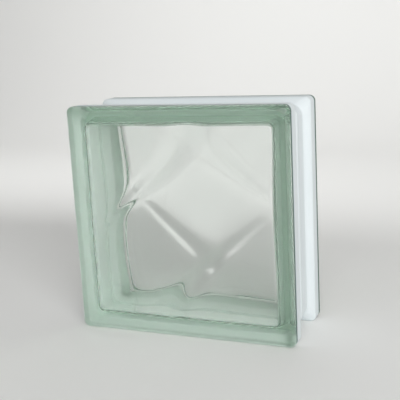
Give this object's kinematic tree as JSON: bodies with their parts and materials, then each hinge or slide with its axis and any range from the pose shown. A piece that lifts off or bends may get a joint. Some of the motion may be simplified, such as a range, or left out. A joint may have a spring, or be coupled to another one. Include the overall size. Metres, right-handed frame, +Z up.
{
  "type": "glass block",
  "caption": "Hollow square glass building block with flanged edges, a mortar channel round its rim and soft wave ridges inside its faces.",
  "frame": {"origin": "centre of the block's footprint, on the plane that its lower edge stands on", "axes": "+Z up, +Y from the front face to the back face, +X to the right as seen from the front"},
  "size_m": [0.19, 0.08, 0.19],
  "materials": {
    "pressed_glass": "clear pressed soda-lime glass with a faint green tint, fire-polished faces, and a thin white bond coat on the edges"
  },
  "bodies": {
    "root": {"glass_block": "pressed_glass"}
  },
  "joints": []
}
